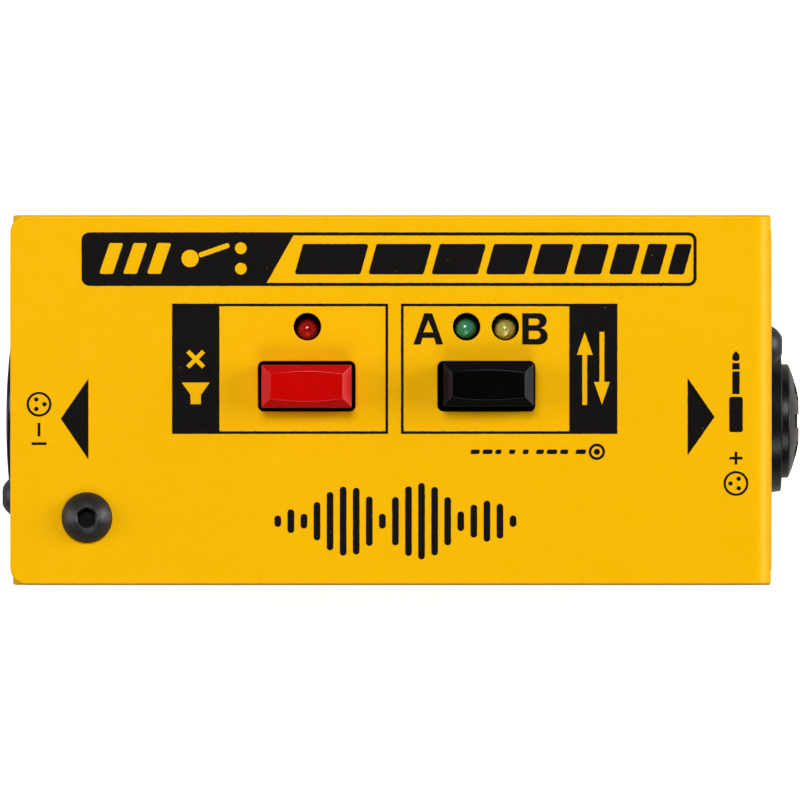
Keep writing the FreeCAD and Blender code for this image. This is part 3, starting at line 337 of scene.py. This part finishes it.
def screen_ink(name):
    """Silk-screened ink: dense, slightly warm, with a few pinholes and thin spots."""
    made = Shader(name).set(Specular_IOR_Level=0.12)
    tone = made.clouds(1.4, 4.0)
    tone = made.mixed(tone, (0.008, 0.006, 0.0056), (0.0135, 0.0105, 0.0098))
    holes = made.ramp(made.cells(2.6), [(0.0, 1.0), (0.055, 0.0)])
    made.colour(made.mixed(made.product(holes, 0.8), tone, (0.5, 0.25, 0.01)))
    made.rough(made.clouds(0.7), 0.36, 0.48)
    made.bumps([(made.clouds(0.3, 3.0), 0.006)])
    return made.material


# One recipe for each material slot of the record: its maker and what the maker needs.
RECIPES = {
    "powder_coat": (powder_coat,),
    "pad_rubber": (rubber,),
    "black_oxide": (black_oxide,),
    "zinc_steel": (metal, (0.52, 0.52, 0.5), (0.66, 0.65, 0.6), (0.3, 0.42), 0.3, 0.01),
    "spring_steel": (metal, (0.5, 0.5, 0.51), (0.68, 0.68, 0.68), (0.2, 0.3), 0.2, 0.005),
    "contact_metal": (metal, (0.62, 0.58, 0.48), (0.78, 0.75, 0.66), (0.25, 0.4), 0.25, 0.008),
    "pin_metal": (metal, (0.7, 0.69, 0.66), (0.85, 0.84, 0.8), (0.12, 0.25), 0.2, 0.004,
                  (0.1, 1, 1)),
    "connector_black": (moulded, (0.01, 0.01, 0.011), (0.017, 0.017, 0.018), (0.24, 0.34),
                        0.3, 0.01),
    "board_green": (solder_mask,),
    "cap_red": (glossy_cap, (0.54, 0.002, 0.001), (0.60, 0.003, 0.0015), 0.35),
    "cap_black": (glossy_cap, (0.0022, 0.0022, 0.0026), (0.0034, 0.0034, 0.0038), 0.24),
    "switch_plastic": (moulded, (0.02, 0.02, 0.02), (0.035, 0.035, 0.036), (0.45, 0.6), 0.3, 0.01),
    "plunger_plastic": (moulded, (0.68, 0.66, 0.6), (0.78, 0.76, 0.7), (0.4, 0.55), 0.4, 0.01),
    "lamp_red": (lamp_epoxy, (0.68, 0.008, 0.02), (0.84, 0.03, 0.04)),
    "lamp_green": (lamp_epoxy, (0.09, 0.56, 0.34), (0.17, 0.74, 0.5)),
    "lamp_yellow": (lamp_epoxy, (0.86, 0.86, 0.2), (0.95, 0.95, 0.38)),
    "spacer_plastic": (moulded, (0.03, 0.03, 0.03), (0.05, 0.05, 0.05), (0.5, 0.62), 0.3, 0.01),
    "resistor_coat": (striped, (0.52, 0.4, 0.24), (0.2, 0.03, 0.02)),
    "capacitor_sleeve": (moulded, (0.012, 0.02, 0.06), (0.02, 0.03, 0.09), (0.25, 0.35), 0.5, 0.01),
    "chip_black": (moulded, (0.014, 0.014, 0.014), (0.024, 0.024, 0.024), (0.5, 0.65), 0.2, 0.02),
    "header_white": (moulded, (0.7, 0.68, 0.6), (0.8, 0.78, 0.7), (0.4, 0.55), 0.4, 0.01),
    "wire_jacket": (moulded, (0.26, 0.014, 0.014), (0.34, 0.02, 0.02), (0.3, 0.42), 0.5, 0.01),
    "print_black": (screen_ink,),
}
MATERIALS = {slot: maker(slot, *values) for slot, (maker, *values) in RECIPES.items()}


def finish_cad_nodes():
    """Give every carried-over CAD node the material of its slot."""
    for part in frame["record"]["subparts"]:
        mesh = NODES[part["node"]].data
        mesh.materials.clear()
        mesh.materials.append(MATERIALS[part["material_slot"]])


# -------------------------------------------------- outlines, in millimetres

def circle(x, y, radius, count=48):
    """Points round a circle."""
    turns = [2 * math.pi * i / count for i in range(count)]
    return [(x + radius * math.cos(a), y + radius * math.sin(a)) for a in turns]


def right_half(x, y, radius, count):
    """Points round the right half of a circle, from its bottom to its top."""
    angles = [math.radians(-90 + 180 * i / (count - 1)) for i in range(count)]
    return [(x + radius * math.cos(a), y + radius * math.sin(a)) for a in angles]


def rounded(points, radius, count=6):
    """A polygon with each corner replaced by an arc."""
    made = []
    for i, point in enumerate(points):
        here = Vector(point)
        back = (Vector(points[i - 1]) - here).normalized()
        ahead = (Vector(points[(i + 1) % len(points)]) - here).normalized()
        half = back.angle(ahead) / 2
        centre = here + (back + ahead).normalized() * (radius / math.sin(half))
        start = here + back * (radius / math.tan(half)) - centre
        sweep = math.pi - 2 * half
        if back.x * ahead.y - back.y * ahead.x > 0:
            sweep = -sweep
        for step in range(count + 1):
            turned = start.copy()
            turned.rotate(Matrix.Rotation(sweep * step / count, 2))
            made.append(tuple(centre + turned))
    return made


def bar(x, y, width, height, slant=0.0, radius=0.0):
    """A bar centred on a point; its top leans right by the slant."""
    w, h, lean = width / 2, height / 2, slant / 2
    points = [(x - w - lean, y - h), (x + w - lean, y - h),
              (x + w + lean, y + h), (x - w + lean, y + h)]
    return rounded(points, radius) if radius else points


def ring(x, y, outer, inner):
    """Two circles, one inside the other."""
    return [circle(x, y, outer), circle(x, y, inner)]


def turned(outlines, x, y, degrees):
    """Outlines drawn around the origin, turned and moved to a point."""
    angle = math.radians(degrees)
    c, s = math.cos(angle), math.sin(angle)
    return [[(x + px * c - py * s, y + px * s + py * c) for px, py in outline]
            for outline in outlines]


def roughened(outline, rng):
    """Break an outline into short steps and shake each point, as screen ink does."""
    step, shake, size = 0.22, 0.028, 0.35
    made = []
    shift = Vector((rng.uniform(-50, 50), rng.uniform(-50, 50), 0))
    for i, point in enumerate(outline):
        start, end = Vector(point), Vector(outline[(i + 1) % len(outline)])
        count = max(1, round((end - start).length / step))
        for k in range(count):
            here = start.lerp(end, k / count)
            sample = noise.noise_vector(Vector((here.x, here.y, 0)) / size + shift)
            made.append((here.x + sample.x * shake, here.y + sample.y * shake))
    return made


INK_THICKNESS = 0.03 * MM
PRINT_SHIFT = -0.1 * MM


def print_ink(name, outlines, seed):
    """A flat ink shape on the panel; an outline inside another is a gap."""
    rng = random.Random(seed)
    curve = bpy.data.curves.new(name, "CURVE")
    curve.dimensions = "2D"
    curve.fill_mode = "BOTH"
    curve.extrude = INK_THICKNESS / 2
    for outline in outlines:
        points = roughened(outline, rng)
        spline = curve.splines.new("POLY")
        spline.points.add(len(points) - 1)
        for point, (x, y) in zip(spline.points, points):
            point.co = (x * MM, y * MM, 0, 1)
        spline.use_cyclic_u = True
    drawn = bpy.data.objects.new(name + "_outline", curve)
    bpy.context.scene.collection.objects.link(drawn)
    bpy.context.view_layer.update()
    filled = drawn.evaluated_get(bpy.context.evaluated_depsgraph_get())
    mesh = bpy.data.meshes.new_from_object(filled)
    bpy.data.objects.remove(drawn)
    bpy.data.curves.remove(curve)
    mesh.transform(Matrix.Translation((PRINT_SHIFT, 0, PANEL_TOP + INK_THICKNESS / 2)))
    tidy = bmesh.new()
    tidy.from_mesh(mesh)
    bmesh.ops.remove_doubles(tidy, verts=tidy.verts, dist=1e-7)
    tidy.to_mesh(mesh)
    tidy.free()
    return add_piece(name, mesh, "box", "print_black")


def add_piece(name, mesh, body, slot):
    """Put a mesh in the scene with its material, riding on a body."""
    piece = bpy.data.objects.new(name, mesh)
    bpy.context.scene.collection.objects.link(piece)
    mesh.materials.clear()
    mesh.materials.append(MATERIALS[slot])
    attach(piece, body)
    return piece


# ---------------------------------------------------------- printed graphics

TITLE_CENTRE = (-0.2, 20.0)
TITLE_SIZE = (87.3, 7.6)
TITLE_CORNER = 1.14
TITLE_LINE = 0.43
SLANT_TOP_X = -13.8
SLANT_BOTTOM_X = -17.6
FRAME_LINE = 0.35
FRAME_TOP = 13.67
FRAME_BOTTOM = -4.8
LETTER_HEIGHT = 4.43


def title_print():
    """The title cartouche: a switch sign in the dark part, bold blocks in the light part."""
    x, y = TITLE_CENTRE
    width, height = TITLE_SIZE
    outer = bar(x, y, width, height, radius=TITLE_CORNER)
    right = x + width / 2 - TITLE_LINE
    low, high = y - height / 2 + TITLE_LINE, y + height / 2 - TITLE_LINE
    corner = TITLE_CORNER - TITLE_LINE
    top_right = rounded([(right - 9, low), (right, low), (right, high), (right - 9, high)], corner)
    window = [(SLANT_TOP_X, high), (SLANT_BOTTOM_X, low)]
    window += [point for point in top_right if point[0] > right - 8]
    left_x = x - width / 2
    sign_y = y + 0.1
    first, pitch = left_x + 4.2, 3.4
    gaps = [bar(first + i * pitch, sign_y, 2.0, 4.4, slant=1.5, radius=0.25) for i in range(3)]
    hub = (left_x + 15.4, sign_y)
    gaps.append(circle(*hub, 1.25))
    gaps += turned([bar(3.6, 0, 4.6, 0.75, radius=0.3)], *hub, 19)
    gaps += [circle(left_x + 22.6, y + side * 1.45 + 0.1, 0.85) for side in (-1, 1)]
    print_ink("title_cartouche", [outer, window] + gaps, 11)
    print_ink("title_blocks", title_blocks(y), 12)


def title_blocks(y):
    """Leaning bars in the cartouche's light part, each narrower than the one before."""
    outlines = []
    left, width, height = -13.0, 9.3, 4.3
    gap, shrink = 1.15, 0.84
    for _ in range(9):
        outlines.append(bar(left + width / 2, y, width, height, slant=1.2, radius=0.3))
        left += width + gap
        width *= shrink
    return outlines


def speaker_sign():
    """A loudspeaker with a cross beside it, drawn along X and centred on the origin."""
    cone = [(-4.2, -0.75), (-2.9, -0.75), (-1.1, -2.0),
            (-1.1, 2.0), (-2.9, 0.75), (-4.2, 0.75)]
    half, arm, cross_x = 0.33, 1.6, 2.2
    cross = []
    for i in range(4):
        angle = math.radians(45 + 90 * i)
        along = Vector((math.cos(angle), math.sin(angle)))
        across = Vector((-along.y, along.x))
        between = math.radians(90 * i)
        inner = Vector((math.cos(between), math.sin(between))) * (half * math.sqrt(2))
        cross.append(tuple(inner))
        cross += [tuple(along * arm - across * half), tuple(along * arm + across * half)]
    return [cone, [(px + cross_x, py) for px, py in cross]]


def exchange_sign():
    """Two arrows that pass each other, drawn along X and centred on the origin."""
    arrow = [(-5.2, -0.36), (1.9, -0.36), (1.9, -1.15), (5.2, 0.0),
             (1.9, 1.15), (1.9, 0.36), (-5.2, 0.36)]
    apart = 1.22
    upper = [(px, py + apart) for px, py in arrow]
    lower = [(-px, -py - apart) for px, py in arrow]
    return [upper, lower]


def button_frames():
    """The frame round each button, with a dark band that carries a sign."""
    middle_y = (FRAME_TOP + FRAME_BOTTOM) / 2
    height = FRAME_TOP - FRAME_BOTTOM
    # Name, left, right, the band's side and width, its sign and where that is, seed.
    specs = (("mute_frame", -31.0, -0.35, -1, 6.7, speaker_sign(), -27.65, 3.6, 21),
             ("select_frame", 1.5, 32.2, 1, 6.8, exchange_sign(), 28.8, 4.5, 22))
    for name, left, right, side, band, sign, sign_x, sign_y, seed in specs:
        outer = bar((left + right) / 2, middle_y, right - left, height)
        inner_left = left + (band if side < 0 else FRAME_LINE)
        inner_right = right - (band if side > 0 else FRAME_LINE)
        window = bar((inner_left + inner_right) / 2, middle_y,
                     inner_right - inner_left, height - 2 * FRAME_LINE)
        gaps = turned(sign, sign_x, sign_y, 90)
        print_ink(name, [outer, window] + gaps, seed)


def letter_a(x, y):
    """A bold capital A around a point."""
    h, w, stroke = LETTER_HEIGHT / 2, 2.1, 0.98
    outer = [(-w, -h), (-w + stroke, -h), (-w + stroke + 0.3, -h + 0.95),
             (w - stroke - 0.3, -h + 0.95), (w - stroke, -h), (w, -h), (0.55, h), (-0.55, h)]
    hole = [(-0.72, -h + 1.72), (0.72, -h + 1.72), (0, h - 0.95)]
    return turned([outer, hole], x, y, 0)


def letter_b(x, y):
    """A bold capital B around a point."""
    h, w, stroke = LETTER_HEIGHT / 2, 1.8, 0.9
    lobes = []
    for low, high, right in ((-h, 0.12, w), (0.12, h, w - 0.15)):
        radius = (high - low) / 2
        lobes += right_half(right - radius, (low + high) / 2, radius, 13)
    outer = [(-w, -h)] + lobes + [(-w, h)]
    holes = []
    for low, high, right in ((-h + 0.78, -0.27, w - 1.0), (0.5, h - 0.75, w - 1.15)):
        radius = (high - low) / 2
        arc = right_half(right - radius, (low + high) / 2, radius, 10)
        holes.append([(-w + stroke, low)] + arc + [(-w + stroke, high)])
    return turned([outer] + holes, x, y, 0)


def end_marks():
    """An arrowhead towards each end, and a sign of the connector there."""
    print_ink("left_arrow", [[(-46.8, -2.65), (-42.9, -8.4), (-42.9, 3.0)]], 31)
    print_ink("right_arrow", [[(46.0, -2.4), (42.2, 3.1), (42.2, -7.8)]], 32)
    pins = []
    for angle in (90, 210, 330):
        pins += turned([circle(0.78, 0, 0.3, 20)], 0, 0, angle)
    outlet = ring(0, 0, 1.75, 1.45) + pins
    outlet += [bar(3.6, 0, 1.9, 0.36), bar(5.6, 0, 0.36, 2.1)]
    print_ink("outlet_sign", turned(outlet, -49.9, -0.6, -90), 33)
    inlet = ring(-9.5, 0, 1.75, 1.45) + [[(px - 9.5, py) for px, py in pin] for pin in pins]
    inlet += [plus_sign(-5.9, 0)] + jack_sign(3.4)
    print_ink("inlet_sign", turned(inlet, 49.05, -2.35, 90), 34)


def plus_sign(x, y):
    """A plus of two crossed bars."""
    half, arm = 0.18, 0.9
    points = [(half, half), (half, arm), (-half, arm), (-half, half),
              (-arm, half), (-arm, -half), (-half, -half), (-half, -arm),
              (half, -arm), (half, -half), (arm, -half), (arm, half)]
    return [(x + px, y + py) for px, py in points]


def jack_sign(x):
    """A jack plug lying along X: tip, ring, sleeve and grip."""
    tip = [(5.9, 0.0), (5.3, 0.5), (4.7, 0.5), (4.5, 0.22),
           (4.5, -0.22), (4.7, -0.5), (5.3, -0.5)]
    plug_ring, sleeve = bar(3.75, 0, 0.9, 1.0), bar(1.4, 0, 3.2, 1.0)
    grip = bar(-3.1, 0, 5.0, 1.9, radius=0.3)
    return turned([tip, plug_ring, sleeve, grip], x, 0, 0)


def wave_mark():
    """A row of round-ended bars whose heights rise and fall like a sound wave."""
    left, right, middle_y, thin = -16.0, 17.4, -17.2, 0.92
    shortest, swing = 1.6, 9.6
    count = 19
    outlines = []
    for i in range(count):
        t = i / (count - 1)
        x = left + (right - left) * t
        swell = math.sin(math.pi * t) ** 0.6
        height = shortest + swing * swell * abs(math.cos(9.2 * t + 0.6)) ** 0.8
        outlines.append(bar(x, middle_y, thin, height, radius=thin / 2 - 0.01))
    print_ink("wave_mark", outlines, 41)


def fine_line():
    """A thin row of short dashes under the right frame, closed by a small target."""
    rng = random.Random(7)
    left, end, y = 11.4, 26.4, -7.35
    outlines = []
    while left < end:
        length = rng.uniform(0.7, 2.4)
        outlines.append(bar(left + length / 2, y, length, 0.62, slant=0.2, radius=0.2))
        left += length + rng.choice((0.45, 0.45, 1.1))
    outlines += ring(29.3, y, 1.15, 0.8) + [circle(29.3, y, 0.42, 24)]
    print_ink("fine_line", outlines, 61)


def printed_graphics():
    """Everything printed on the top panel."""
    title_print()
    button_frames()
    print_ink("mark_a", letter_a(5.37, 10.1), 51)
    print_ink("mark_b", letter_b(20.52, 10.1), 52)
    end_marks()
    fine_line()
    wave_mark()


# ----------------------------------------------------------------- the lamps

RIM_BELOW_TIP = 1.3 * MM
POST_ABOVE_FOOT = 1.2 * MM
POST_R = 0.22 * MM
CUP_R = 0.72 * MM
CUP_MOUTH_R = 0.6 * MM
CUP_FLOOR_R = 0.28 * MM
CUP_HOLLOW = 0.3 * MM
CUP_SIDE = 0.35 * MM
CUP_DEPTH = 0.75 * MM
CHIP_SIZE = 0.3 * MM
CUP_OFFSET = 0.25 * MM


def spun(profile, count=32):
    """A closed solid of revolution about Z from (radius, height) points, in metres."""
    made = bmesh.new()
    rows = []
    for radius, height in profile:
        points = circle(0, 0, radius, count) if radius else [(0, 0)]
        rows.append([made.verts.new((x, y, height)) for x, y in points])
    for low, high in zip(rows, rows[1:]):
        for k in range(count):
            after = (k + 1) % count
            face = [low[k % len(low)], low[after % len(low)],
                    high[after % len(high)], high[k % len(high)]]
            unique = list(dict.fromkeys(face))
            if len(unique) > 2:
                made.faces.new(unique)
    bmesh.ops.recalc_face_normals(made, faces=made.faces)
    return made


def lamp_insides():
    """The reflector cup on its post and the chip in it, seen through each lens."""
    for node in ("mute_led", "select_led_a", "select_led_b"):
        low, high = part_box(node)
        x, y = (low.x + high.x) / 2, (low.y + high.y) / 2
        base = low.z + POST_ABOVE_FOOT
        rim = high.z - RIM_BELOW_TIP
        post = [(0, base), (POST_R, base), (POST_R, rim - CUP_DEPTH)]
        outside = [(CUP_R, rim - CUP_SIDE), (CUP_R, rim)]
        inside = [(CUP_MOUTH_R, rim), (CUP_FLOOR_R, rim - CUP_HOLLOW), (0, rim - CUP_HOLLOW)]
        made = spun(post + outside + inside, 24)
        chip = Matrix.Translation((0, 0, rim - CHIP_SIZE / 2))
        bmesh.ops.create_cube(made, size=CHIP_SIZE, matrix=chip)
        mesh = bpy.data.meshes.new(node + "_frame")
        made.to_mesh(mesh)
        made.free()
        mesh.transform(Matrix.Translation((x - CUP_OFFSET, y, 0)))
        add_piece(node + "_frame", mesh, "box", "contact_metal")


# -------------------------------------------------------- the return springs

def pressed_springs():
    """Each return spring again, as a copy of its mesh riding on its joint's parent body."""
    for joint in frame["joints"]:
        for spring in joint["deforming_nodes"]:
            node, foot_z = spring["node"], spring["fixed_end_z_m"]
            coil = NODES[node].data.copy()
            piece = add_piece(node + "_coil", coil, joint["parent"], "spring_steel")
            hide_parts(node)
            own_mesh(piece)


# ---------------------------------------------------------- camera and stage

CAMERA_X = 1.25 * MM
CAMERA_HEIGHT = 2.0
SENSOR_WIDTH = 36
LENS = 633.9
VIEW_GAMMA = 0.8
FLOOR_HALF = 8.0
FLOOR_DROP = 0.05 * MM
FLOOR_GLOW = 0.63
FLOOR_GREY = 0.2
MIRRORED_SHARE = 0.35
# The sky's grey at two heights, from 0 straight down to 1 straight up.
SKY_STOPS = ((0.55, 0.12), (0.85, 0.0))
# Name, place, width and height in metres, power in watts.
SOFTBOXES = (
    ("key", (-0.12, 0.55, 1.15), (0.55, 0.45), 9.3),
    ("right_box", (1.1, 0.2, 0.42), (0.8, 0.8), 11.0),
    ("left_box", (-1.1, 0.1, 0.45), (0.8, 0.8), 6.5),
    ("front_box", (0.1, -0.85, 0.95), (0.8, 0.5), 4.7),
)


def point_at(thing, place, target):
    """Aim a light at a point, with +Y up where it looks straight down."""
    thing.location = place
    thing.rotation_euler = (Vector(target) - Vector(place)).to_track_quat("-Z", "Y").to_euler()


def add_camera():
    """A long lens, straight above the panel."""
    data = bpy.data.cameras.new("camera")
    data.sensor_width = SENSOR_WIDTH
    data.lens = LENS
    data.clip_end = 30
    camera = bpy.data.objects.new("camera", data)
    bpy.context.scene.collection.objects.link(camera)
    camera.location = (CAMERA_X, 0, PANEL_TOP + CAMERA_HEIGHT)
    camera.rotation_euler = (0, 0, 0)
    bpy.context.scene.camera = camera


def add_floor():
    """A wide pale floor, white to the camera, dimmer in reflections and dim as a reflector."""
    made = Shader("floor_white").set(Specular_IOR_Level=0.1, Roughness=0.9)
    made.colour(made.mixed(made.clouds(400.0, 1.0), (0.93, 0.93, 0.93), (0.95, 0.95, 0.95)))
    made.set(Emission_Color=(1, 1, 1, 1), Emission_Strength=FLOOR_GLOW)
    bounce = made.node("BsdfDiffuse")
    bounce.inputs["Color"].default_value = (FLOOR_GREY, FLOOR_GREY, FLOOR_GREY, 1)
    either = made.node("MixShader")
    rays = made.node("LightPath")
    seen = made.node("Math", operation="MULTIPLY_ADD")
    made.link(rays.outputs["Is Glossy Ray"], seen.inputs[0])
    seen.inputs[1].default_value = MIRRORED_SHARE
    made.link(rays.outputs["Is Camera Ray"], seen.inputs[2])
    made.link(seen.outputs[0], either.inputs["Fac"])
    made.link(bounce.outputs["BSDF"], either.inputs[1])
    made.link(made.surface.outputs["BSDF"], either.inputs[2])
    made.link(either.outputs["Shader"], made.tree.nodes["Material Output"].inputs["Surface"])
    mesh = bpy.data.meshes.new("floor")
    half = FLOOR_HALF
    corners = [(-half, -half, 0), (half, -half, 0), (half, half, 0), (-half, half, 0)]
    mesh.from_pydata(corners, [], [(0, 1, 2, 3)])
    mesh.materials.append(made.material)
    floor = bpy.data.objects.new("floor", mesh)
    bpy.context.scene.collection.objects.link(floor)
    floor.location.z = cad_box[0].z - FLOOR_DROP


def add_softbox(name, place, size, power, target=(0, 0, 0.03)):
    """A rectangular soft light aimed at the box."""
    data = bpy.data.lights.new(name, "AREA")
    data.shape = "RECTANGLE"
    data.size, data.size_y = size
    data.energy = power
    light = bpy.data.objects.new(name, data)
    bpy.context.scene.collection.objects.link(light)
    point_at(light, place, target)


def add_world():
    """Dim light from low down all round, and a dark ceiling."""
    world = bpy.data.worlds.new("studio")
    world.use_nodes = True
    tree = world.node_tree
    place = tree.nodes.new("ShaderNodeTexCoord")
    parts = tree.nodes.new("ShaderNodeSeparateXYZ")
    height = tree.nodes.new("ShaderNodeValToRGB")
    for element, (position, grey) in zip(height.color_ramp.elements, SKY_STOPS):
        element.position = position
        element.color = (grey, grey, grey, 1)
    tree.links.new(place.outputs["Generated"], parts.inputs["Vector"])
    tree.links.new(parts.outputs["Z"], height.inputs["Fac"])
    tree.links.new(height.outputs["Color"], tree.nodes["Background"].inputs["Color"])
    bpy.context.scene.world = world


def studio():
    """Softboxes, world, floor and camera."""
    add_world()
    for name, place, size, power in SOFTBOXES:
        add_softbox(name, place, size, power)
    add_floor()
    add_camera()
    view = bpy.context.scene.view_settings
    view.view_transform = "Standard"
    view.look = "None"
    view.gamma = VIEW_GAMMA


finish_cad_nodes()
printed_graphics()
lamp_insides()
pressed_springs()
studio()
